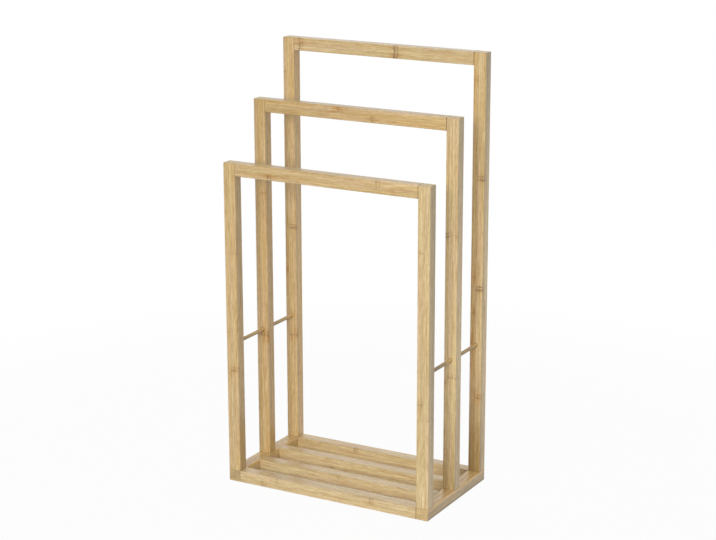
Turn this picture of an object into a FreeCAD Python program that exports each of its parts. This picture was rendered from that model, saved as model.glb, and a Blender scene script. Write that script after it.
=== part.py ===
# Free-standing bamboo towel rack: three towel frames that step up from front to back, on a slatted base.
# Millimetres. +Z is up, the front faces -Y, and the origin is on the floor under the middle of the rack.
import FreeCAD
import Part
import math
import os

# Overall size
overall_width = 420.0
overall_depth = 234.0

# Bamboo stock: one section for every post, bar, rail and slat
stock_width = 24.0
stock_thickness = 22.0
arris_radius = 1.5

# Towel frames: each is two posts on the side rails, with a bar between their tops
front_post_length = 590.0
middle_post_length = 690.0
rear_post_length = 790.0

# Slatted base: the slats are spread evenly between the front rail and the rear rail
inner_slat_names = ("base_front_slat", "base_rear_slat")

# Round spacer rods between the frames
rod_diameter = 7.0
rod_height = 270.0
rod_seat_depth = 7.0
rod_end_chamfer = 0.5

# Glued dowel pins: a pair in each end of every bar, rail and slat
dowel_diameter = 6.0
dowel_pitch = 10.0
dowel_end_chamfer = 0.8
dowel_tip_wall = 0.75

# Bolts that rise through the side rails into threaded inserts in the feet of the posts
bolt_diameter = 5.0
bolt_inset = 7.5
bolt_head_diameter = 8.5
bolt_head_height = 5.0
bolt_head_recess = 1.0
bolt_socket_width = 4.0
bolt_socket_depth = 2.5
bolt_reach = 16.0
insert_diameter = 8.5
insert_length = 13.0

# Clearances
glue_gap = 0.1
thread_gap = 0.1
bolt_hole_gap = 0.25
head_gap = 0.5
hole_end_gap = 0.5

# Derived sizes and places
half_width = overall_width / 2
half_depth = overall_depth / 2
cross_length = overall_width - 2 * stock_width
rail_top = stock_thickness
counterbore_diameter = bolt_head_diameter + 2 * head_gap
counterbore_depth = bolt_head_height + bolt_head_recess
dowel_hole_depth = stock_width - bolt_inset - counterbore_diameter / 2 - dowel_tip_wall
dowel_seat_depth = dowel_hole_depth - hole_end_gap

x_axis = FreeCAD.Vector(1, 0, 0)
y_axis = FreeCAD.Vector(0, 1, 0)
z_axis = FreeCAD.Vector(0, 0, 1)
hexagon_sides = 6

# Each frame: its post length and the depth of its front face
frames = {
    "front": (front_post_length, -half_depth),
    "middle": (middle_post_length, -stock_thickness / 2),
    "rear": (rear_post_length, half_depth - stock_thickness),
}

# Each side: the direction from the middle of the rack outwards
sides = {"left": -1, "right": 1}

# Each cross piece of the base: the depth of its front face
cross_names = ("base_front_rail", *inner_slat_names, "base_rear_rail")
cross_pitch = (overall_depth - stock_width) / (len(cross_names) - 1)
cross_fronts = {name: -half_depth + i * cross_pitch for i, name in enumerate(cross_names)}


def spot(x, y, z):
    return FreeCAD.Vector(x, y, z)


def runs_along(edge, axis):
    """Whether a straight edge of a box lies along an axis, not square to it."""
    chord = edge.Vertexes[1].Point - edge.Vertexes[0].Point
    return abs(chord.dot(axis)) > edge.Length / 2


def eased_bar(corner, size, grain, eased_ends):
    """A bar from its lowest corner. Arrises along the grain are rounded, and so are those round each eased end.
    An eased end is given as its place along the grain."""
    bar = Part.makeBox(size.x, size.y, size.z, corner)

    def is_eased(edge):
        if runs_along(edge, grain):
            return True
        along = edge.CenterOfMass.dot(grain)
        return any(abs(along - end) < arris_radius / 2 for end in eased_ends)

    return bar.makeFillet(arris_radius, [edge for edge in bar.Edges if is_eased(edge)])


def pin(diameter, start, axis, length, chamfer):
    """A round pin with both ends chamfered."""
    blank = Part.makeCylinder(diameter / 2, length, start, axis)
    rims = [edge for edge in blank.Edges if isinstance(edge.Curve, Part.Circle)]
    return blank.makeChamfer(chamfer, rims)


def dowel_spots(centre, pitch_axis):
    """The two dowel axes on a joint face, either side of its centre."""
    offset = pitch_axis * (dowel_pitch / 2)
    return [centre - offset, centre + offset]


def dowel_holes(face_centre, inwards, pitch_axis):
    """The pair of blind dowel holes that sink into a joint face."""
    radius = dowel_diameter / 2 + glue_gap
    return [
        Part.makeCylinder(radius, dowel_hole_depth, place, inwards)
        for place in dowel_spots(face_centre, pitch_axis)
    ]


def dowel_pair(face_centre, pitch_axis):
    """The pair of dowels across a joint face that stands square to X."""
    length = 2 * dowel_seat_depth
    start = face_centre - x_axis * dowel_seat_depth
    return [
        pin(dowel_diameter, place, x_axis, length, dowel_end_chamfer)
        for place in dowel_spots(start, pitch_axis)
    ]


def joint_face_x(side):
    """Where the inner faces of the posts and side rails meet the ends of the bars and slats."""
    return side * cross_length / 2


def bar_joint(frame, side):
    """The centre of the face where a towel bar meets a post."""
    post_length, front = frames[frame]
    middle_z = rail_top + post_length - stock_width / 2
    return spot(joint_face_x(side), front + stock_thickness / 2, middle_z)


def cross_joint(name, side):
    """The centre of the face where a base rail or slat meets a side rail."""
    return spot(joint_face_x(side), cross_fronts[name] + stock_width / 2, rail_top / 2)


def bolt_axis(frame, side, z):
    """A point on the axis of the bolt under a post."""
    front = frames[frame][1]
    return spot(side * (half_width - bolt_inset), front + stock_thickness / 2, z)


def outer_corner_x(side):
    """The lowest X of a post or side rail."""
    return side * (half_width - stock_width / 2) - stock_width / 2


def rod_seats(frame, side):
    """The blind holes for the spacer rods in one post, on the faces that look at another frame."""
    front = frames[frame][1]
    back = front + stock_thickness
    x = side * (half_width - stock_width / 2)
    radius = rod_diameter / 2 + glue_gap
    depth = rod_seat_depth + hole_end_gap
    seats = []
    if frame != "front":
        seats.append(Part.makeCylinder(radius, depth, spot(x, front, rod_height), y_axis))
    if frame != "rear":
        seats.append(Part.makeCylinder(radius, depth, spot(x, back, rod_height), -y_axis))
    return seats


def post(frame, side):
    post_length, front = frames[frame]
    corner = spot(outer_corner_x(side), front, rail_top)
    size = spot(stock_width, stock_thickness, post_length)
    blank = eased_bar(corner, size, z_axis, [rail_top + post_length])
    foot = bolt_axis(frame, side, rail_top)
    insert_hole = Part.makeCylinder(insert_diameter / 2 + glue_gap, insert_length, foot, z_axis)
    bolt_room = Part.makeCylinder(bolt_diameter / 2 + bolt_hole_gap, bolt_reach + hole_end_gap, foot, z_axis)
    holes = dowel_holes(bar_joint(frame, side), x_axis * side, z_axis)
    return blank.cut([insert_hole, bolt_room, *holes, *rod_seats(frame, side)])


def towel_bar(frame):
    post_length, front = frames[frame]
    corner = spot(-cross_length / 2, front, rail_top + post_length - stock_width)
    blank = eased_bar(corner, spot(cross_length, stock_thickness, stock_width), x_axis, [])
    holes = []
    for side in sides.values():
        holes += dowel_holes(bar_joint(frame, side), -x_axis * side, z_axis)
    return blank.cut(holes)


def spacer_rod(near, far, side):
    """A rod from the back of one frame's post into the front of the next frame's post."""
    start = frames[near][1] + stock_thickness - rod_seat_depth
    end = frames[far][1] + rod_seat_depth
    place = spot(side * (half_width - stock_width / 2), start, rod_height)
    return pin(rod_diameter, place, y_axis, end - start, rod_end_chamfer)


def side_rail(side):
    corner = spot(outer_corner_x(side), -half_depth, 0)
    size = spot(stock_width, overall_depth, stock_thickness)
    blank = eased_bar(corner, size, y_axis, [-half_depth, half_depth])
    holes = []
    for name in cross_names:
        holes += dowel_holes(cross_joint(name, side), x_axis * side, y_axis)
    for frame in frames:
        floor_spot = bolt_axis(frame, side, 0)
        holes.append(Part.makeCylinder(bolt_diameter / 2 + bolt_hole_gap, rail_top, floor_spot, z_axis))
        holes.append(Part.makeCylinder(counterbore_diameter / 2, counterbore_depth, floor_spot, z_axis))
    return blank.cut(holes)


def base_cross_piece(name):
    corner = spot(-cross_length / 2, cross_fronts[name], 0)
    blank = eased_bar(corner, spot(cross_length, stock_width, stock_thickness), x_axis, [])
    holes = []
    for side in sides.values():
        holes += dowel_holes(cross_joint(name, side), -x_axis * side, y_axis)
    return blank.cut(holes)


def hexagon(centre, width):
    """A level six-sided face, with its width measured across the flats."""
    corner_reach = x_axis * (width / 2 / math.cos(math.pi / hexagon_sides))
    turns = [FreeCAD.Rotation(z_axis, 360 * i / hexagon_sides) for i in range(hexagon_sides)]
    corners = [centre + turn.multVec(corner_reach) for turn in turns]
    return Part.Face(Part.makePolygon([*corners, corners[0]]))


def post_bolt(frame, side):
    """A socket-head bolt whose head bears on the floor of the counterbore under the side rail."""
    head_bottom = bolt_axis(frame, side, bolt_head_recess)
    head_top = bolt_axis(frame, side, counterbore_depth)
    shank_length = rail_top + bolt_reach - counterbore_depth
    head = Part.makeCylinder(bolt_head_diameter / 2, bolt_head_height, head_bottom, z_axis)
    shank = Part.makeCylinder(bolt_diameter / 2, shank_length, head_top, z_axis)
    socket = hexagon(head_bottom, bolt_socket_width).extrude(z_axis * bolt_socket_depth)
    return head.fuse(shank).cut(socket).removeSplitter()


def post_insert(frame, side):
    """A threaded insert, flush with the foot of its post, drawn as a plain sleeve."""
    foot = bolt_axis(frame, side, rail_top)
    sleeve = Part.makeCylinder(insert_diameter / 2, insert_length, foot, z_axis)
    return sleeve.cut(Part.makeCylinder(bolt_diameter / 2 + thread_gap, insert_length, foot, z_axis))


def all_pieces():
    """Every node's name and its solids."""
    pieces = {}
    for side_name, side in sides.items():
        pieces[f"base_side_rail_{side_name}"] = [side_rail(side)]
        for frame in frames:
            pieces[f"{frame}_post_{side_name}"] = [post(frame, side)]
        pieces[f"front_spacer_rod_{side_name}"] = [spacer_rod("front", "middle", side)]
        pieces[f"rear_spacer_rod_{side_name}"] = [spacer_rod("middle", "rear", side)]
    for name in cross_names:
        pieces[name] = [base_cross_piece(name)]
        pieces[f"{name}_dowels"] = [
            dowel for side in sides.values() for dowel in dowel_pair(cross_joint(name, side), y_axis)
        ]
    for frame in frames:
        pieces[f"{frame}_towel_bar"] = [towel_bar(frame)]
        pieces[f"{frame}_bar_dowels"] = [
            dowel for side in sides.values() for dowel in dowel_pair(bar_joint(frame, side), z_axis)
        ]
        pieces[f"{frame}_post_bolts"] = [post_bolt(frame, side) for side in sides.values()]
        pieces[f"{frame}_post_inserts"] = [post_insert(frame, side) for side in sides.values()]
    return pieces


os.makedirs("parts", exist_ok=True)
for node, solids in all_pieces().items():
    shape = solids[0] if len(solids) == 1 else Part.makeCompound(solids)
    shape.exportStep(f"parts/{node}.step")
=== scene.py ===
# Looks of the bamboo towel rack: lacquered laminated bamboo, round bamboo rods, beech dowels,
# zinc-plated bolts and brass inserts, on a white studio floor. Metres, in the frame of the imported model.
import bpy
import math
from collections import namedtuple
from mathutils import Matrix, Vector


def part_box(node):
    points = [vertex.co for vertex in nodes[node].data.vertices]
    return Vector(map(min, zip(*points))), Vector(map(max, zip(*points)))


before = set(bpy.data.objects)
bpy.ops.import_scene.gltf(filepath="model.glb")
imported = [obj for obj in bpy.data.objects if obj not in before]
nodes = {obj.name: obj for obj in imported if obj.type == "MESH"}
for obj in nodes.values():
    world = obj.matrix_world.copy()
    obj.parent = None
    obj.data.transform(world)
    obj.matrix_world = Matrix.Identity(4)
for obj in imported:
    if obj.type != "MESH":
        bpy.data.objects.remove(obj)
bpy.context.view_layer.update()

# Picture and camera
picture_width = 716
focal_pixels = 1904.54
sensor_width = 36.0
camera_azimuth = math.radians(29.2224)
camera_elevation = math.radians(15.2688)
camera_roll = math.radians(-0.1131)
camera_place = Vector((1.64413, -2.93347, 1.32806))

# Light: soft square panels that face the middle of the rack, with azimuth and elevation in degrees.
# The key panel throws the soft shadow of each post on the post behind it. A panel without shine
# throws no glare.
Panel = namedtuple("Panel", "azimuth elevation watts size shine", defaults=(True,))
panels = {
    "overhead_panel": Panel(0, 90, 6.0, 2.7),
    "key_panel": Panel(12.5, 17.5, 203.0, 1.8),
    "front_panel": Panel(12, 38, 115.0, 7.0),
    "right_panel": Panel(95, 12, 26.0, 2.0),
    "back_panel": Panel(195, 28, 210.0, 7.0, shine=False),
    "left_panel": Panel(275, 12, 40.0, 2.0),
}
panel_distance = 6.0
panel_aim = Vector((0, 0, 0.4))
ambient_level = 0.2

# Floor: white near the rack, where it throws light back up, and grey further out. To the camera it
# glows white, a little less so near the rack, where it keeps the shadow.
floor_half = 14.0
floor_white = (0.72, 0.72, 0.72, 1)
floor_grey = (0.15, 0.15, 0.15, 1)
floor_near = 0.5
floor_far = 1.4
floor_glow_near = 0.95
floor_roughness = 0.9

# Marks on the wood: a mark is full at one value of a noise or distance, and gone at another
Fade = namedtuple("Fade", "full gone")

# Bamboo boards: layers glued face to face, each of two strips side by side. Foot and head reach are how
# far the changes of tone at the low end and the high end go. Spread is how much the layers behind the
# front one differ from each other.
layer_count = 4
seam_width = 0.0005
joint_line_width = 0.0012
# Painted shade: a dark ring round each rod where it enters a post, this wide
rod_seat_shade_width = 0.0014
foot_reach = 0.26
head_reach = 0.30
front_blush = 0.5
side_warmth_spread = 0.4
side_tone_spread = 0.10
seam_dark = 0.14
joint_dark = 0.5
# How dark the ring of painted shade round each rod seat is
rod_seat_shade_dark = 0.8

# Streaks along the fibres: how many of each kind there are in a metre along and across the fibres,
# and how strongly some of them lighten and darken the wood. Dashes are short dark marks on the fibres,
# and tint is where the wood turns pink. Each strip shifts its streaks along the fibres.
streak_counts = {
    "clouds": (3.0, 60.0),
    "tint": (4.5, 130.0),
    "bands": (5.0, 300.0),
    "mottle": (110.0, 260.0),
    "threads": (32.0, 700.0),
    "fibres": (60.0, 2000.0),
}
streak_strengths = {"bands": 0.70, "mottle": 0.42, "threads": 1.10, "fibres": 0.60}
strip_shift = 7.3
tint_fade = Fade(0.64, 0.44)
dash_fade = Fade(0.66, 0.56)
dash_strength = 0.14
cloud_tone = 0.25
cloud_warmth = 0.8
band_warmth = 0.8

# Fibres waver across the board, and more so beside a knot
waver_counts = (7.0, 40.0)
waver_reach = 0.0016
knot_waver_reach = 0.003

# Knots: each has its place along the fibres, how dark its lines are and how strong the amber stain
# round it is. Knots on the layers behind the front one are faint and evenly spaced.
Knot = namedtuple("Knot", "place line halo")
knot_spacing = 0.29
knot_bow = 14.0
side_line = 0.25
side_halo = 0.15
ragged_counts = (60.0, 260.0)
ragged_reach = 0.005

# A knot is a scar with a ridge beside it. Both are broken, and faint over part of the strip.
scar_fade = Fade(0.0006, 0.0042)
ridge_fade = Fade(0.0003, 0.0020)
ridge_offset = 0.0060
broken_counts = (250.0, 700.0)
broken_fade = Fade(0.62, 0.38)
broken_strengths = (0.30, 0.95)
faint_counts = (30.0, 190.0)
faint_fade = Fade(0.58, 0.40)
faint_strengths = (0.40, 1.00)

# The amber stain round a knot lies in patches and along the dark bands
halo_fade = Fade(0.003, 0.022)
stain_counts = (40.0, 170.0)
stain_fade = Fade(0.62, 0.34)
stain_band_fade = Fade(0.30, 0.75)

# Patches along the arrises: rougher where worn, lighter on most boards, partly wear and partly painted
# highlight, and darker on the base slats and rear rail, as painted shade
arris_width = 0.0022
wear_counts = (35.0, 200.0)
wear_fade = Fade(0.62, 0.40)

# End grain: the dots are fibre bundles, so many in a metre
end_face_fade = Fade(0.86, 0.55)
bundle_count = 1300.0
bundle_fade = Fade(0.18, 0.42)
bundle_dark = 0.5
end_tone_spread = 0.16
end_threads = 0.5
end_seam_dark = 0.25

# Lacquer: how rough it is, what changes that, and how far the fibres stand out and the seams, knots and
# bundles sink in
lacquer_roughness = 0.42
band_roughness = 0.2
worn_roughness = 0.12
mark_roughness = 0.10
fibre_height = 0.5
seam_sink = 0.6
knot_sink = 0.5
bundle_sink = 0.4
relief_depth = 0.00008

# How each board looks. Grain is the axis its fibres run along, and stack the axis its layers lie along.
# Seam is where the seam between its two strips falls across the width. The low strip is below or left
# of the seam. Tone is how light a strip is, and warmth runs from pale straw at 0 to honey at 1. Sides
# are the layers behind the front one, and blush is how pink they are. Head is how much a strip or the
# sides darken towards the high end: painted shade on the sides of the right posts, and below nought
# painted light towards the right ends of the bars. Ends is how light the end grain is, and foot how much
# the low end darkens and warms, partly darker wood and partly painted shade where a post stands in the
# base. Last is how light the last layer is beside the other sides: painted light on the tops of the side
# rails. Arris is how much lighter the arrises are in worn patches, partly wear and partly painted
# highlight; below nought it darkens them as painted shade.
Strip = namedtuple("Strip", "tone warmth knots head", defaults=(0.0,))
Side = namedtuple("Side", "tone warmth blush head", defaults=(0.5, 0.0))
Board = namedtuple(
    "Board", "grain stack seam low high sides ends foot last arris", defaults=(1.0, 0.0, 1.0, 0.08))
boards = {
    "front_post_left": Board(
        "z", "y", 0.33,
        Strip(0.94, 0.45, [Knot(0.292, 0.4, 0.4), Knot(0.518, 0.2, 0.2)]),
        Strip(0.98, 0.50, [Knot(0.219, 0.65, 0.9), Knot(0.444, 0.3, 0.2)]),
        Side(0.88, 0.75), foot=0.08),
    "front_post_right": Board(
        "z", "y", 0.50,
        Strip(0.97, 0.20, [Knot(0.217, 0.7, 0.4), Knot(0.493, 0.4, 0.2)]),
        Strip(1.00, 0.20, [Knot(0.190, 0.3, 0.2)]),
        Side(0.88, 0.20)),
    "middle_post_left": Board(
        "z", "y", 0.36,
        Strip(0.91, 0.65, [Knot(0.128, 0.2, 0.2), Knot(0.531, 0.3, 0.3)], head=0.12),
        Strip(0.99, 0.75, [Knot(0.260, 0.8, 2.4), Knot(0.535, 0.3, 0.3)], head=0.12),
        Side(0.95, 0.90)),
    "middle_post_right": Board(
        "z", "y", 0.30,
        Strip(1.05, 0.35, [Knot(0.227, 0.6, 0.9), Knot(0.498, 1.3, 0.9)], head=0.08),
        Strip(1.11, 0.15, [Knot(0.238, 0.6, 0.2), Knot(0.502, 0.5, 0.2)], head=0.12),
        Side(1.16, 0.25, head=0.26), foot=0.30),
    "rear_post_left": Board(
        "z", "y", 0.31,
        Strip(0.90, 0.65, [Knot(0.362, 0.4, 1.2), Knot(0.746, 0.4, 0.5)]),
        Strip(0.99, 0.65, [Knot(0.232, 0.6, 1.4), Knot(0.446, 1.0, 0.4)]),
        Side(1.20, 0.90)),
    "rear_post_right": Board(
        "z", "y", 0.45,
        Strip(0.96, 0.75, [Knot(0.275, 0.4, 1.2), Knot(0.330, 0.5, 1.2), Knot(0.400, 0.3, 1.2),
                           Knot(0.762, 0.4, 0.6)], head=-0.06),
        Strip(1.02, 0.40, [Knot(0.168, 0.9, 1.4), Knot(0.376, 1.2, 0.8), Knot(0.582, 1.0, 0.6)]),
        Side(1.24, 0.05, head=0.44), foot=0.36),
    "front_towel_bar": Board(
        "x", "y", 0.48,
        Strip(0.93, 0.55, [Knot(-0.115, 0.9, 0.8), Knot(0.137, 0.3, 0.5)], head=-0.06),
        Strip(0.95, 0.50, [Knot(0.105, 0.8, 0.4)], head=-0.06),
        Side(0.90, 0.45)),
    "middle_towel_bar": Board(
        "x", "y", 0.60,
        Strip(0.87, 0.65, [Knot(0.038, 0.7, 0.8)], head=-0.14),
        Strip(0.90, 0.60, [Knot(-0.031, 0.5, 1.4)], head=-0.14),
        Side(0.86, 0.40)),
    "rear_towel_bar": Board(
        "x", "y", 0.0,
        Strip(0.97, 0.30, [Knot(-0.173, 0.9, 0.6), Knot(0.027, 1.2, 0.6)]),
        Strip(0.97, 0.30, [Knot(-0.173, 0.9, 0.6), Knot(0.027, 1.2, 0.6)]),
        Side(0.92, 0.30)),
    "base_front_rail": Board(
        "x", "y", 0.50,
        Strip(0.91, 0.0, [Knot(-0.136, 0.8, 0.6), Knot(0.029, 0.4, 0.5)]),
        Strip(0.95, 0.0, [Knot(-0.105, 0.5, 0.3), Knot(0.093, 0.7, 0.5)]),
        Side(0.95, 0.10, 1.1)),
    "base_front_slat": Board(
        "x", "y", 0.42,
        Strip(0.95, 0.12, [Knot(-0.102, 0.3, 0.3)]),
        Strip(0.96, 0.12, [Knot(-0.014, 0.3, 0.2)]),
        Side(0.95, 0.10, 1.1), arris=-0.15),
    "base_rear_slat": Board(
        "x", "y", 0.55,
        Strip(0.97, 0.18, [Knot(0.064, 0.3, 0.2)]),
        Strip(0.97, 0.14, [Knot(-0.080, 0.3, 0.3)]),
        Side(0.95, 0.10, 1.1), arris=-0.20),
    "base_rear_rail": Board(
        "x", "y", 0.46,
        Strip(1.07, 0.25, [Knot(-0.160, 0.4, 0.8)]),
        Strip(0.93, 0.20, [Knot(-0.057, 0.7, 0.8)]),
        Side(1.00, 0.0, 0.9), arris=-0.15),
    # The left side rail's warm hue is partly painted shade, for the warm shade between the slats, and its
    # lighter top layer is painted light.
    "base_side_rail_left": Board(
        "y", "z", 0.52,
        Strip(0.96, 0.6, [Knot(-0.060, 0.4, 0.3)]),
        Strip(0.98, 0.6, [Knot(0.045, 0.4, 0.3)]),
        Side(0.96, 0.6, 0.9), ends=0.74, last=1.18),
    # The right side rail's dark bottom layer is painted shade, and its lighter top layer is painted light.
    "base_side_rail_right": Board(
        "y", "z", 0.44,
        Strip(0.60, 0.7, [Knot(0.060, 0.4, 0.3)]),
        Strip(0.56, 0.7, [Knot(-0.035, 0.4, 0.3)]),
        Side(0.82, 0.7, 0.6), ends=0.95, last=1.36),
}

# How light the top of each rod is at its front end and at its rear end: painted shade towards the front
# end, in the shadow of the front post, and painted light towards the rear end
Rod = namedtuple("Rod", "front_tone rear_tone")
rods = {
    "front_spacer_rod_left": Rod(0.97, 1.18),
    "front_spacer_rod_right": Rod(0.64, 1.40),
    "rear_spacer_rod_left": Rod(1.00, 1.42),
    "rear_spacer_rod_right": Rod(0.88, 1.25),
}

# Rods: fibres in a metre along and across the rod, and clouds in a metre along it. How far the fibres on
# top turn from honey to straw is painted light. The underside is darker and warmer, as painted shade.
rod_fibre_counts = (22.0, 1500.0)
rod_cloud_count = 30.0
rod_cloud_tone = 0.25
rod_dash_fade = Fade(0.64, 0.54)
rod_dash_strength = 0.16
rod_top_light = 0.9
rod_underside_shade = 0.40
rod_roughness = 0.40
rod_fibre_roughness = 0.12
rod_relief_depth = 0.00006

# Beech: grain and ray flecks in a metre along and across the dowel
beech_grain_counts = (60.0, 1100.0)
beech_fleck_counts = (420.0, 2200.0)
beech_fleck_fade = Fade(0.16, 0.30)
beech_fleck_dark = 0.3
beech_roughness = 0.55
beech_grain_roughness = 0.2
beech_relief_depth = 0.00006

# Plated metal: clouds in a metre, and rings of the lathe in a metre across and along the bolt
plating_cloud_count = 320.0
plating_ring_counts = (60.0, 9000.0)
plating_cloud_roughness = 0.14
plating_ring_roughness = 0.10
plating_relief_depth = 0.00003
zinc_roughness = 0.24
brass_roughness = 0.26

# Each board and each rod starts its noise elsewhere
board_seed_start = 5.0
board_seed_step = 31.0
rod_seed_start = 3.0
rod_seed_step = 17.0


def shade(red, green, blue):
    """A display colour from 0 to 255 as the linear colour that shaders take."""
    def linear(value):
        value /= 255
        return value / 12.92 if value <= 0.04045 else ((value + 0.055) / 1.055) ** 2.4
    return (linear(red), linear(green), linear(blue), 1.0)


straw = shade(211, 188, 139)
honey = shade(200, 163, 99)
blush = shade(207, 175, 137)
amber = shade(184, 134, 62)
knot_brown = shade(116, 82, 42)
end_tan = shade(205, 176, 122)
end_dot = shade(158, 122, 74)
beech_light = shade(214, 178, 138)
beech_dark = shade(190, 148, 106)
zinc_bright = shade(206, 209, 212)
zinc_dull = shade(172, 176, 180)
brass_bright = shade(214, 178, 104)
brass_dull = shade(178, 138, 70)

# How much a streak changes the red, green and blue of the wood
streak_balance = (0.75, 1.0, 1.4)


class Graph:
    """One new material and short ways to add shader nodes to it. Values are numbers or nodes' outputs."""

    def __init__(self, name):
        self.material = bpy.data.materials.new(name)
        self.material.use_nodes = True
        self.tree = self.material.node_tree
        self.shader = self.tree.nodes["Principled BSDF"]

    def feed(self, socket, value):
        if isinstance(value, bpy.types.NodeSocket):
            self.tree.links.new(value, socket)
        else:
            socket.default_value = value

    def node(self, kind, **settings):
        node = self.tree.nodes.new(kind)
        for key, value in settings.items():
            setattr(node, key, value)
        return node

    def math(self, operation, *values):
        node = self.node("ShaderNodeMath", operation=operation)
        for socket, value in zip(node.inputs, values):
            self.feed(socket, value)
        return node.outputs[0]

    def plus(self, first, second):
        return self.math("ADD", first, second)

    def minus(self, first, second):
        return self.math("SUBTRACT", first, second)

    def times(self, first, second):
        return self.math("MULTIPLY", first, second)

    def size_of(self, value):
        return self.math("ABSOLUTE", value)

    def swing(self, noise, reach):
        """A noise value from 0 to 1, moved to swing about nought by reach."""
        return self.times(self.minus(noise, 0.5), reach)

    def choose(self, second_wins, first, second):
        """The first value where second_wins is 0, and the second where it is 1."""
        return self.plus(first, self.times(second_wins, self.minus(second, first)))

    def fade(self, value, full, gone):
        """1 where value is at full, falling smoothly to 0 where it is at gone."""
        node = self.node("ShaderNodeMapRange", interpolation_type="SMOOTHSTEP")
        for socket, number in zip(node.inputs, (value, gone, full, 0.0, 1.0)):
            self.feed(socket, number)
        return node.outputs[0]

    def vector(self, x, y, z):
        node = self.node("ShaderNodeCombineXYZ")
        for socket, value in zip(node.inputs, (x, y, z)):
            self.feed(socket, value)
        return node.outputs[0]

    def parts(self, vector):
        node = self.node("ShaderNodeSeparateXYZ")
        self.feed(node.inputs[0], vector)
        return dict(zip("xyz", node.outputs))

    def place(self):
        """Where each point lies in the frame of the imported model."""
        return self.node("ShaderNodeTexCoord").outputs["Object"]

    def noise(self, vector, detail=2.0):
        node = self.node("ShaderNodeTexNoise")
        self.feed(node.inputs["Vector"], vector)
        node.inputs["Scale"].default_value = 1.0
        node.inputs["Detail"].default_value = detail
        return node.outputs["Fac"]

    def cells(self, vector):
        """The distance to the nearest of a scatter of points, one to each unit cube."""
        node = self.node("ShaderNodeTexVoronoi")
        self.feed(node.inputs["Vector"], vector)
        node.inputs["Scale"].default_value = 1.0
        return node.outputs["Distance"]

    def chance(self, number):
        """Three random values that stay the same for the same number."""
        node = self.node("ShaderNodeTexWhiteNoise", noise_dimensions="1D")
        self.feed(node.inputs["W"], number)
        return self.parts(node.outputs["Color"])

    def blend(self, factor, first, second):
        node = self.node("ShaderNodeMix", data_type="RGBA")
        sockets = {socket.identifier: socket for socket in node.inputs}
        self.feed(sockets["Factor_Float"], factor)
        self.feed(sockets["A_Color"], first)
        self.feed(sockets["B_Color"], second)
        return next(socket for socket in node.outputs if socket.identifier == "Result_Color")

    def scale(self, colour, factor):
        node = self.node("ShaderNodeVectorMath", operation="SCALE")
        self.feed(node.inputs["Vector"], colour)
        self.feed(node.inputs["Scale"], factor)
        return node.outputs[0]

    def streaked(self, colour, amount):
        """The colour, lighter where amount is above nought and browner where it is below."""
        change = self.scale(streak_balance, amount)
        node = self.node("ShaderNodeVectorMath", operation="MULTIPLY_ADD")
        for socket, value in zip(node.inputs, (colour, change, colour)):
            self.feed(socket, value)
        return node.outputs[0]

    def bump(self, height, depth):
        """A surface normal raised by height, which runs from 0 to 1, times depth."""
        node = self.node("ShaderNodeBump")
        node.inputs["Strength"].default_value = 1.0
        node.inputs["Distance"].default_value = depth
        self.feed(node.inputs["Height"], height)
        return node.outputs["Normal"]

    def finish(self, colour, roughness, normal, **constants):
        """Links what varies to the shader, and sets the rest on the shader's own sockets."""
        self.feed(self.shader.inputs["Base Color"], colour)
        self.feed(self.shader.inputs["Roughness"], roughness)
        self.feed(self.shader.inputs["Normal"], normal)
        for name, value in constants.items():
            self.shader.inputs[name.replace("_", " ")].default_value = value
        return self.material


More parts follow.
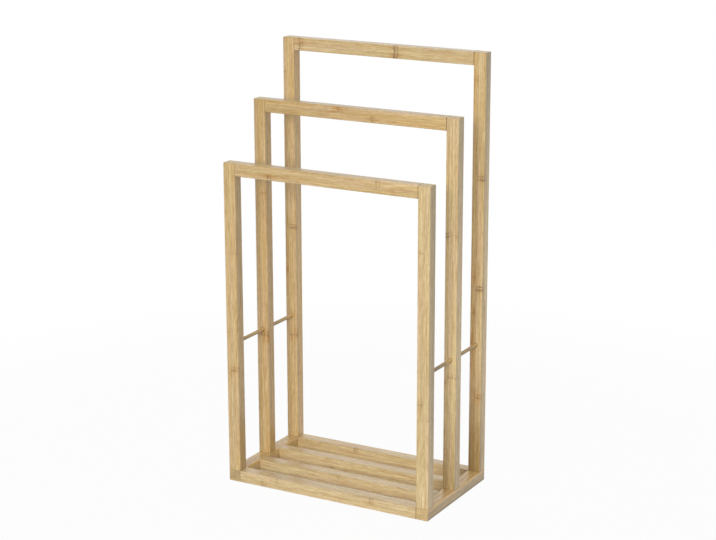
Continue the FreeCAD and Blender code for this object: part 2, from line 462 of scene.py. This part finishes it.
class Plank(Graph):
    """The material of one board, which knows where each point lies along, across and through it."""

    def __init__(self, piece, board, seed):
        super().__init__(piece + "_bamboo")
        low, high = (dict(zip("xyz", corner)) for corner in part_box(piece))
        across = next(axis for axis in "xyz" if axis not in (board.grain, board.stack))
        self.here = self.parts(self.place())
        self.board = board
        self.along = self.here[board.grain]
        self.width = self.minus(self.here[across], low[across])
        self.depth = self.minus(self.here[board.stack], low[board.stack])
        self.ends = (low[board.grain], high[board.grain])
        self.full_width = high[across] - low[across]
        self.full_depth = high[board.stack] - low[board.stack]

        # Two strips side by side in each layer, each with its own random numbers
        last_layer = layer_count - 1.0
        self.seam = board.seam * self.full_width
        self.column = self.math("GREATER_THAN", self.width, self.seam)
        self.level = self.times(self.depth, layer_count / self.full_depth)
        layer = self.math("MAXIMUM", self.math("FLOOR", self.level), 0.0)
        layer = self.math("MINIMUM", layer, last_layer)
        self.front = self.math("LESS_THAN", layer, 0.5)
        self.last = self.math("GREATER_THAN", layer, last_layer - 0.5)
        self.strip = self.plus(self.plus(self.times(layer, 2.0), self.column), seed)
        self.own = self.chance(self.strip)

    def in_front(self, front, behind):
        """The first value on the front layer, and the second on the layers behind it."""
        return self.choose(self.front, behind, front)

    def either_strip(self, low, high):
        """The first value on the low strip, and the second on the high strip."""
        return self.choose(self.column, low, high)

    def streaks(self, sway, per_length, per_width):
        """Noise with so many streaks in a metre along and across fibres that sway across the board."""
        along = self.plus(self.times(self.along, per_length), self.times(self.strip, strip_shift))
        width = self.times(self.plus(self.width, sway), per_width)
        depth = self.times(self.plus(self.depth, sway), per_width)
        return self.noise(self.vector(along, width, depth))

    def spots(self, per_length, per_width):
        """The same along straight fibres."""
        return self.streaks(0.0, per_length, per_width)

    def nearest(self, knots):
        """How far each point lies past the nearest of the knots, and the line and halo of that knot.
        The knots are in rising order."""
        values = [self.minus(self.along, knots[0].place), knots[0].line, knots[0].halo]
        for near, far in zip(knots, knots[1:]):
            beyond = self.math("GREATER_THAN", self.along, (near.place + far.place) / 2)
            steps = (near.place - far.place, far.line - near.line, far.halo - near.halo)
            values = [self.plus(value, self.times(beyond, step)) for value, step in zip(values, steps)]
        return values

    def knots(self):
        """The same for all of the board's knots: the listed ones in front, and faint ones behind."""
        pairs = zip(self.nearest(self.board.low.knots), self.nearest(self.board.high.knots))
        listed = [self.either_strip(low, high) for low, high in pairs]
        turn = self.plus(self.times(self.along, 1 / knot_spacing), self.own["z"])
        side_past = self.swing(self.math("FRACT", turn), knot_spacing)
        faint = (side_past, side_line, side_halo)
        past, line, halo = (self.in_front(front, behind) for front, behind in zip(listed, faint))

        # Each knot bows across its strip, with a ragged edge
        middle = self.either_strip(self.seam / 2, (self.seam + self.full_width) / 2)
        off_middle = self.minus(self.width, middle)
        past = self.plus(past, self.times(self.times(off_middle, off_middle), knot_bow))
        past = self.plus(past, self.swing(self.spots(*ragged_counts), ragged_reach))
        return past, line, halo

    def seams(self):
        """1 on the glue lines between the strips and between the layers."""
        between_strips = self.fade(self.size_of(self.minus(self.width, self.seam)), 0.0, seam_width)
        joint = self.math("ROUND", self.level)
        off_middle = self.size_of(self.minus(joint, layer_count / 2))
        inside = self.math("LESS_THAN", off_middle, (layer_count - 1) / 2)
        layer_depth = self.full_depth / layer_count
        off_joint = self.times(self.size_of(self.minus(self.level, joint)), layer_depth)
        between_layers = self.times(self.fade(off_joint, 0.0, seam_width), inside)
        return self.math("MAXIMUM", between_strips, between_layers)

    def end_line(self):
        """1 at each end of the board, where it meets another piece."""
        from_low_end = self.minus(self.along, self.ends[0])
        from_high_end = self.minus(self.ends[1], self.along)
        return self.fade(self.math("MINIMUM", from_low_end, from_high_end), 0.0, joint_line_width)

    def rod_seat_shade(self, side):
        """Painted shade: 1 round the spacer rods of one side, on post faces that look at another frame."""
        low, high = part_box("rear_spacer_rod_" + side)
        off_x = self.minus(self.here["x"], (low[0] + high[0]) / 2)
        off_z = self.minus(self.here["z"], (low[2] + high[2]) / 2)
        distance = self.math("SQRT", self.plus(self.times(off_x, off_x), self.times(off_z, off_z)))
        radius = (high[2] - low[2]) / 2
        inside = self.math("LESS_THAN", self.size_of(self.here["y"]), high[1])
        return self.times(self.fade(distance, radius, radius + rod_seat_shade_width), inside)

    def arris_wear_and_shading(self):
        """Patches along the arrises where the finish is thinner and painted highlight and shade lie."""
        from_side = self.math("MINIMUM", self.width, self.minus(self.full_width, self.width))
        from_face = self.math("MINIMUM", self.depth, self.minus(self.full_depth, self.depth))
        arris = self.fade(self.math("MAXIMUM", from_side, from_face), 0.0, arris_width)
        return self.times(arris, self.fade(self.spots(*wear_counts), *wear_fade))

    def end_face(self):
        """1 on the faces that cut across the fibres."""
        facing = self.parts(self.node("ShaderNodeNewGeometry").outputs["Normal"])[self.board.grain]
        return self.fade(self.size_of(facing), *end_face_fade)


def fibre_noise(wood, beside_knot):
    """Every kind of streak, along fibres that waver a little, and more so beside a knot."""
    per_length, per_width = waver_counts
    start = wood.vector(wood.times(wood.along, per_length), wood.strip, wood.times(wood.width, per_width))
    reach = wood.plus(waver_reach, wood.times(beside_knot, knot_waver_reach))
    sway = wood.swing(wood.noise(start, detail=1.0), reach)
    return {name: wood.streaks(sway, *counts) for name, counts in streak_counts.items()}


def strip_hue(wood, board, noise, foot_shade_and_tone):
    """The hue of each strip. Dark streaks are warmer, and so is the darker foot, partly painted shade."""
    front_warmth = wood.either_strip(board.low.warmth, board.high.warmth)
    side_warmth = wood.plus(board.sides.warmth, wood.swing(wood.own["x"], side_warmth_spread))
    warmth = wood.plus(wood.in_front(front_warmth, side_warmth), foot_shade_and_tone)
    warmth = wood.plus(warmth, wood.swing(noise["clouds"], cloud_warmth))
    warmth = wood.minus(warmth, wood.swing(noise["bands"], band_warmth))
    pink = wood.times(wood.fade(noise["tint"], *tint_fade), wood.in_front(front_blush, board.sides.blush))
    return wood.blend(pink, wood.blend(warmth, straw, honey), blush)


def strip_tone(wood, board, noise, foot_shade_and_tone):
    """How light each strip is: clouds, and a foot, head and last layer of painted shade and light."""
    front_tone = wood.either_strip(board.low.tone, board.high.tone)
    side_tone = wood.plus(board.sides.tone, wood.swing(wood.own["z"], side_tone_spread))
    tone = wood.plus(wood.in_front(front_tone, side_tone), wood.swing(noise["clouds"], cloud_tone))
    # Head: painted shade on the sides of the right posts and painted light towards the right ends of the
    # bars. The last layer: painted light on the tops of the side rails.
    near_head = wood.fade(wood.minus(wood.ends[1], wood.along), 0.0, head_reach)
    front_head = wood.either_strip(board.low.head, board.high.head)
    head = wood.times(near_head, wood.in_front(front_head, board.sides.head))
    tone = wood.minus(tone, wood.plus(foot_shade_and_tone, head))
    return wood.times(tone, wood.choose(wood.last, 1.0, board.last))


def strip_colour(wood, board, noise):
    """The colour of each strip, with the streaks along it."""
    # A darker, warmer foot: partly darker wood and partly painted shade where a post stands in the base
    foot_shade_and_tone = wood.times(wood.fade(wood.minus(wood.along, wood.ends[0]), 0.0, foot_reach), board.foot)
    colour = wood.scale(strip_hue(wood, board, noise, foot_shade_and_tone), strip_tone(wood, board, noise, foot_shade_and_tone))
    streak = wood.times(wood.fade(noise["fibres"], *dash_fade), -dash_strength)
    for name, strength in streak_strengths.items():
        streak = wood.plus(streak, wood.swing(noise[name], strength))
    return wood.streaked(colour, streak)


def knot_stain(wood, beside_knot, halo, noise):
    """How much the wood round a knot turns amber: in patches, and along the fibres."""
    patches = wood.fade(wood.spots(*stain_counts), *stain_fade)
    bands = wood.fade(noise["bands"], *stain_band_fade)
    return wood.times(wood.times(beside_knot, halo), wood.times(patches, bands))


def knot_mark(wood, past, line):
    """How dark a knot is: a fuzzy scar across part of the strip and a broken line beside it."""
    scar = wood.fade(wood.size_of(past), *scar_fade)
    ridge = wood.fade(wood.size_of(wood.minus(past, ridge_offset)), *ridge_fade)
    lines = wood.math("MAXIMUM", scar, wood.times(ridge, line))
    broken = wood.choose(wood.fade(wood.spots(*broken_counts), *broken_fade), *broken_strengths)
    faint = wood.choose(wood.fade(wood.spots(*faint_counts), *faint_fade), *faint_strengths)
    return wood.times(wood.times(lines, wood.times(broken, faint)), line)


def end_grain(wood, board, noise, seams, dots):
    """The colour of a cut end, with the dots of the fibre bundles."""
    colour = wood.blend(wood.times(dots, bundle_dark), end_tan, end_dot)
    tone = wood.plus(board.ends, wood.swing(wood.own["z"], end_tone_spread))
    tone = wood.plus(tone, wood.swing(noise["threads"], end_threads))
    return wood.scale(colour, wood.minus(tone, wood.times(seams, end_seam_dark)))


def bamboo(piece, board, seed):
    """Laminated bamboo under a satin lacquer, with its strips, seams, fibres, knots and end grain."""
    wood = Plank(piece, board, seed)
    past, line, halo = wood.knots()
    beside_knot = wood.fade(wood.size_of(past), *halo_fade)
    noise = fibre_noise(wood, beside_knot)
    mark = knot_mark(wood, past, line)
    colour = strip_colour(wood, board, noise)
    colour = wood.blend(knot_stain(wood, beside_knot, halo, noise), colour, amber)
    colour = wood.blend(mark, colour, knot_brown)

    # Glue lines, joints, and arrises with wear and painted highlight and shade
    seams = wood.seams()
    wear_and_shading = wood.arris_wear_and_shading()
    darker = wood.plus(wood.times(seams, seam_dark), wood.times(wood.end_line(), joint_dark))
    colour = wood.scale(colour, wood.minus(wood.plus(1.0, wood.times(wear_and_shading, board.arris)), darker))
    # Painted shade: a dark ring round each rod seat on the posts
    if "_post_" in piece:
        side = piece.split("_")[-1]
        colour = wood.blend(wood.times(wood.rod_seat_shade(side), rod_seat_shade_dark), colour, knot_brown)

    # Cut ends
    end_face = wood.end_face()
    across = (wood.times(wood.width, bundle_count), wood.times(wood.depth, bundle_count))
    dots = wood.fade(wood.cells(wood.vector(*across, wood.strip)), *bundle_fade)
    colour = wood.blend(end_face, colour, end_grain(wood, board, noise, seams, dots))

    # Lacquer
    roughness = wood.plus(lacquer_roughness, wood.swing(noise["bands"], band_roughness))
    roughness = wood.plus(roughness, wood.times(wear_and_shading, worn_roughness))
    roughness = wood.plus(roughness, wood.times(wood.plus(mark, end_face), mark_roughness))
    sunk = wood.plus(wood.times(seams, seam_sink), wood.times(mark, knot_sink))
    sunk = wood.plus(sunk, wood.times(wood.times(end_face, dots), bundle_sink))
    height = wood.minus(wood.times(noise["fibres"], fibre_height), sunk)
    return wood.finish(colour, roughness, wood.bump(height, relief_depth),
                       Specular_IOR_Level=0.3, Coat_Weight=0.6, Coat_Roughness=0.22)


def rod_bamboo(piece, rod, seed):
    """A round rod drawn from one strip, close fibres along it, painted light on top, painted shade
    beneath.
    """
    wood = Graph(piece + "_bamboo")
    here = wood.parts(wood.place())
    along = here["y"]
    low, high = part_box(piece)
    per_length, per_width = rod_fibre_counts
    start = wood.plus(wood.times(along, per_length), seed)
    across = (wood.times(here["x"], per_width), wood.times(here["z"], per_width))
    fibres = wood.noise(wood.vector(start, *across), detail=3.0)
    cloud_start = wood.plus(wood.times(along, rod_cloud_count), seed)
    clouds = wood.noise(wood.vector(cloud_start, here["x"], here["z"]), detail=1.0)

    # Tone and hue: painted shade towards the front end and beneath, and painted light on top
    underside_shade = wood.fade(here["z"], low[2], high[2])
    rear_half = wood.fade(along, high[1], (low[1] + high[1]) / 2)
    tone = wood.choose(rear_half, rod.front_tone, rod.rear_tone)
    tone = wood.plus(tone, wood.swing(clouds, rod_cloud_tone))
    tone = wood.minus(tone, wood.times(underside_shade, rod_underside_shade))
    tone = wood.minus(tone, wood.times(wood.fade(fibres, *rod_dash_fade), rod_dash_strength))
    top_light = wood.times(fibres, wood.choose(underside_shade, rod_top_light, 0.0))
    colour = wood.scale(wood.blend(top_light, honey, straw), tone)

    roughness = wood.plus(rod_roughness, wood.times(fibres, rod_fibre_roughness))
    return wood.finish(colour, roughness, wood.bump(fibres, rod_relief_depth),
                       Specular_IOR_Level=0.3, Coat_Weight=0.6, Coat_Roughness=0.15)


def beech(name):
    """Bare beech with the short dark flecks of its rays, grain along x."""
    wood = Graph(name)
    here = wood.parts(wood.place())

    def stretched(per_length, per_width):
        across = (wood.times(here["y"], per_width), wood.times(here["z"], per_width))
        return wood.vector(wood.times(here["x"], per_length), *across)

    grain = wood.noise(stretched(*beech_grain_counts), detail=3.0)
    flecks = wood.fade(wood.cells(stretched(*beech_fleck_counts)), *beech_fleck_fade)
    colour = wood.blend(grain, beech_light, beech_dark)
    colour = wood.scale(colour, wood.minus(1.0, wood.times(flecks, beech_fleck_dark)))
    roughness = wood.plus(beech_roughness, wood.times(grain, beech_grain_roughness))
    return wood.finish(colour, roughness, wood.bump(grain, beech_relief_depth))


def plated(name, bright, dull, metal_roughness):
    """A turned and plated metal: rings from the lathe and a cloudy plating."""
    metal = Graph(name)
    here = metal.parts(metal.place())
    per_width, per_length = plating_ring_counts
    across = (metal.times(here["x"], per_width), metal.times(here["y"], per_width))
    rings = metal.noise(metal.vector(*across, metal.times(here["z"], per_length)))
    clouds = metal.noise(metal.scale(metal.place(), plating_cloud_count), detail=3.0)
    colour = metal.blend(clouds, bright, dull)
    roughness = metal.plus(metal_roughness, metal.times(clouds, plating_cloud_roughness))
    roughness = metal.plus(roughness, metal.times(rings, plating_ring_roughness))
    return metal.finish(colour, roughness, metal.bump(rings, plating_relief_depth), Metallic=1.0)


def paint(piece, material):
    mesh = nodes[piece].data
    mesh.materials.clear()
    mesh.materials.append(material)


def dress_rack():
    """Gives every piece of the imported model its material."""
    for number, (piece, board) in enumerate(boards.items()):
        paint(piece, bamboo(piece, board, board_seed_start + board_seed_step * number))
    for number, (piece, rod) in enumerate(rods.items()):
        paint(piece, rod_bamboo(piece, rod, rod_seed_start + rod_seed_step * number))
    hidden_materials = {
        "_dowels": beech("dowel_beech"),
        "_bolts": plated("zinc_plated_steel", zinc_bright, zinc_dull, zinc_roughness),
        "_inserts": plated("turned_brass", brass_bright, brass_dull, brass_roughness),
    }
    for piece in nodes:
        for ending, material in hidden_materials.items():
            if piece.endswith(ending):
                paint(piece, material)


def direction(azimuth, elevation):
    """From the rack towards a camera or lamp. Azimuth 0 is in front, and 90 degrees is to the right."""
    level = math.cos(elevation)
    return Vector((math.sin(azimuth) * level, -math.cos(azimuth) * level, math.sin(elevation)))


def place_camera():
    """The camera at the photo's place, with its small roll."""
    back = direction(camera_azimuth, camera_elevation)
    right = Vector((math.cos(camera_azimuth), math.sin(camera_azimuth), 0))
    up = back.cross(right)
    turned_right = math.cos(camera_roll) * right + math.sin(camera_roll) * up
    turned_up = back.cross(turned_right)
    data = bpy.data.cameras.new("camera")
    data.sensor_width = sensor_width
    data.lens = focal_pixels / picture_width * sensor_width
    camera = bpy.data.objects.new("camera", data)
    bpy.context.scene.collection.objects.link(camera)
    turn = Matrix((turned_right, turned_up, back)).transposed()
    camera.matrix_world = Matrix.Translation(camera_place) @ turn.to_4x4()
    bpy.context.scene.camera = camera


def seen_directly(tree):
    """1 for rays from the camera, and for those that a surface mirrors or passes on."""
    rays = tree.nodes.new("ShaderNodeLightPath")
    total = rays.outputs["Is Camera Ray"]
    for name in ("Is Glossy Ray", "Is Transmission Ray"):
        either = tree.nodes.new("ShaderNodeMath")
        either.operation = "MAXIMUM"
        tree.links.new(total, either.inputs[0])
        tree.links.new(rays.outputs[name], either.inputs[1])
        total = either.outputs[0]
    return total


def light_world():
    """A white background to look at, and an even soft light from all round."""
    world = bpy.data.worlds.new("studio")
    world.use_nodes = True
    tree = world.node_tree
    light = tree.nodes["Background"]
    light.inputs["Color"].default_value = (1, 1, 1, 1)
    light.inputs["Strength"].default_value = ambient_level
    white = tree.nodes.new("ShaderNodeBackground")
    white.inputs["Color"].default_value = (1, 1, 1, 1)
    mix = tree.nodes.new("ShaderNodeMixShader")
    tree.links.new(seen_directly(tree), mix.inputs["Fac"])
    tree.links.new(light.outputs[0], mix.inputs[1])
    tree.links.new(white.outputs[0], mix.inputs[2])
    tree.links.new(mix.outputs[0], tree.nodes["World Output"].inputs["Surface"])
    bpy.context.scene.world = world


def hang_panel(name, panel):
    """One soft panel that faces the middle of the rack."""
    away = direction(math.radians(panel.azimuth), math.radians(panel.elevation))
    lamp = bpy.data.lights.new(name, "AREA")
    lamp.size = panel.size
    lamp.energy = panel.watts
    holder = bpy.data.objects.new(name, lamp)
    holder.location = panel_aim + away * panel_distance
    holder.rotation_mode = "QUATERNION"
    holder.rotation_quaternion = away.to_track_quat("Z", "Y")
    holder.visible_camera = False
    holder.visible_glossy = panel.shine
    bpy.context.scene.collection.objects.link(holder)


def floor_material():
    """Matt white that turns grey away from the rack, and that glows white to the camera."""
    graph = Graph("studio_floor")
    distance = graph.node("ShaderNodeVectorMath", operation="LENGTH")
    graph.feed(distance.inputs[0], graph.place())
    away = graph.fade(distance.outputs["Value"], floor_far, floor_near)
    graph.feed(graph.shader.inputs["Base Color"], graph.blend(away, floor_white, floor_grey))
    graph.shader.inputs["Roughness"].default_value = floor_roughness
    glow = graph.times(seen_directly(graph.tree), graph.choose(away, floor_glow_near, 1.0))
    mix = graph.node("ShaderNodeMixShader")
    graph.feed(mix.inputs["Fac"], glow)
    graph.feed(mix.inputs[1], graph.shader.outputs[0])
    graph.feed(mix.inputs[2], graph.node("ShaderNodeEmission").outputs[0])
    graph.feed(graph.tree.nodes["Material Output"].inputs["Surface"], mix.outputs[0])
    return graph.material


def lay_floor():
    mesh = bpy.data.meshes.new("studio_floor")
    corners = [(-1, -1), (1, -1), (1, 1), (-1, 1)]
    mesh.from_pydata([(x * floor_half, y * floor_half, 0) for x, y in corners], [], [(0, 1, 2, 3)])
    mesh.materials.append(floor_material())
    floor = bpy.data.objects.new("studio_floor", mesh)
    bpy.context.scene.collection.objects.link(floor)


dress_rack()
place_camera()
light_world()
for name, panel in panels.items():
    hang_panel(name, panel)
lay_floor()
bpy.context.scene.view_settings.view_transform = "Standard"
